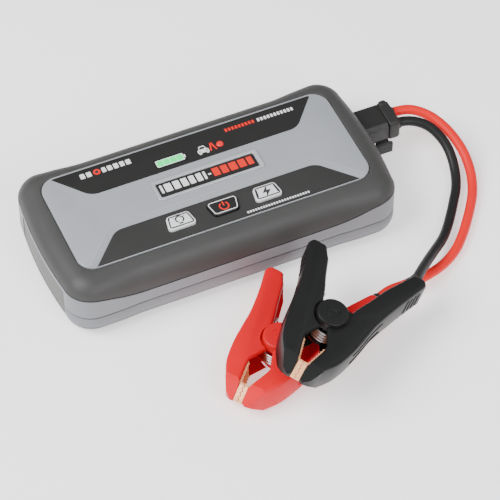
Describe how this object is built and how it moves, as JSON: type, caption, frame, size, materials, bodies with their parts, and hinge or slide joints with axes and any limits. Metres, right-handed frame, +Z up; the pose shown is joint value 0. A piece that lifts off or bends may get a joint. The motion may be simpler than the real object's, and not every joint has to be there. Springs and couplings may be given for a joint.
{
  "type": "jump starter pack",
  "caption": "Flat portable car jump starter with a charge gauge and press keys, a capped output socket and port flap, and a plug-in pair of cables ending in spring battery clamps.",
  "frame": {"origin": "centre of the pack's underside, on the floor it lies on", "axes": "+X along the pack to its socket end, +Y to the long side away from the keys, +Z up"},
  "size_m": [0.2323, 0.1774, 0.0421],
  "materials": {
    "rubber": "matte",
    "grey": "satin",
    "charcoal": "satin",
    "silver": "satin lacquer",
    "gloss": "gloss",
    "green_lens": "lit lens",
    "red_lens": "lit lens",
    "light_grey": "satin",
    "board": "satin",
    "foil": "foil",
    "steel": "bright",
    "brass": "bright",
    "copper": "copper plate",
    "clear_lens": "clear",
    "black": "satin",
    "red": "gloss"
  },
  "bodies": {
    "pack": {"base_pad": "rubber", "battery_cell_1": "foil", "battery_cell_2": "foil", "battery_cell_3": "foil", "case_screw_1": "steel", "case_screw_2": "steel", "case_screw_3": "steel", "case_screw_4": "steel", "face_panel": "silver", "far_inlay": "gloss", "gauge_lens": "green_lens", "label_frame": "silver", "label_plate": "gloss", "light_switch": "black", "lower_shell": "grey", "main_board": "board", "near_inlay": "gloss", "output_socket": "black", "port_block": "black", "port_liner_1": "steel", "port_liner_2": "steel", "port_liner_3": "steel", "power_switch": "black", "socket_contact_1": "brass", "socket_contact_2": "brass", "start_switch": "black", "status_led": "red_lens", "top_bezel": "charcoal", "torch_lens": "clear_lens", "torch_reflector": "steel", "upper_shell": "grey"},
    "light_button": {"light_key": "light_grey"},
    "power_button": {"power_key": "gloss"},
    "start_button": {"start_key": "light_grey"},
    "flap": {"port_flap": "rubber"},
    "cover": {"socket_cover": "rubber"},
    "leads": {"black_cable": "black", "black_cable_handle": "black", "black_cable_jaw": "copper", "black_cable_lug": "copper", "black_pivot_cap": "black", "black_pivot_pin": "steel", "black_spring": "steel", "plug_collar": "black", "plug_housing": "black", "plug_sleeve_1": "brass", "plug_sleeve_2": "brass", "red_cable": "red", "red_cable_handle": "red", "red_cable_jaw": "copper", "red_cable_lug": "copper", "red_pivot_cap": "red", "red_pivot_pin": "steel", "red_spring": "steel"},
    "black_free": {"black_free_handle": "black", "black_free_jaw": "copper"},
    "red_free": {"red_free_handle": "red", "red_free_jaw": "copper"}
  },
  "joints": [
    {"name": "light_press", "type": "slide", "parent": "pack", "child": "light_button", "axis": [0, 0, -1], "range_m": [0, 0.0008], "stiffness_N_per_m": 900, "springref_m": -0.0006},
    {"name": "power_press", "type": "slide", "parent": "pack", "child": "power_button", "axis": [0, 0, -1], "range_m": [0, 0.0008], "stiffness_N_per_m": 900, "springref_m": -0.0006},
    {"name": "start_press", "type": "slide", "parent": "pack", "child": "start_button", "axis": [0, 0, -1], "range_m": [0, 0.0008], "stiffness_N_per_m": 900, "springref_m": -0.0006},
    {"name": "flap_hinge", "type": "hinge", "parent": "pack", "child": "flap", "pos_m": [-0.0904, 0, 0.0075], "axis": [0, -1, 0], "range_deg": [0, 80]},
    {"name": "cover_hinge", "type": "hinge", "parent": "pack", "child": "cover", "pos_m": [0.0919, -0.0024, 0.0173], "axis": [0, 0, 1], "range_deg": [-45, 5]},
    {"name": "plug_pull", "type": "slide", "parent": "pack", "child": "leads", "axis": [1, 0, 0], "range_m": [0, 0.022]},
    {"name": "black_open", "type": "hinge", "parent": "leads", "child": "black_free", "pos_m": [0.0185, -0.1036, 0.0293], "axis": [-0.2073, 0.1418, -0.9679], "range_deg": [0, 26], "stiffness_Nm_per_rad": 0.6, "springref_deg": -28.65},
    {"name": "red_open", "type": "hinge", "parent": "leads", "child": "red_free", "pos_m": [-0.0022, -0.093, 0.0092], "axis": [0, 0, -1], "range_deg": [0, 26], "stiffness_Nm_per_rad": 0.6, "springref_deg": -28.65}
  ]
}
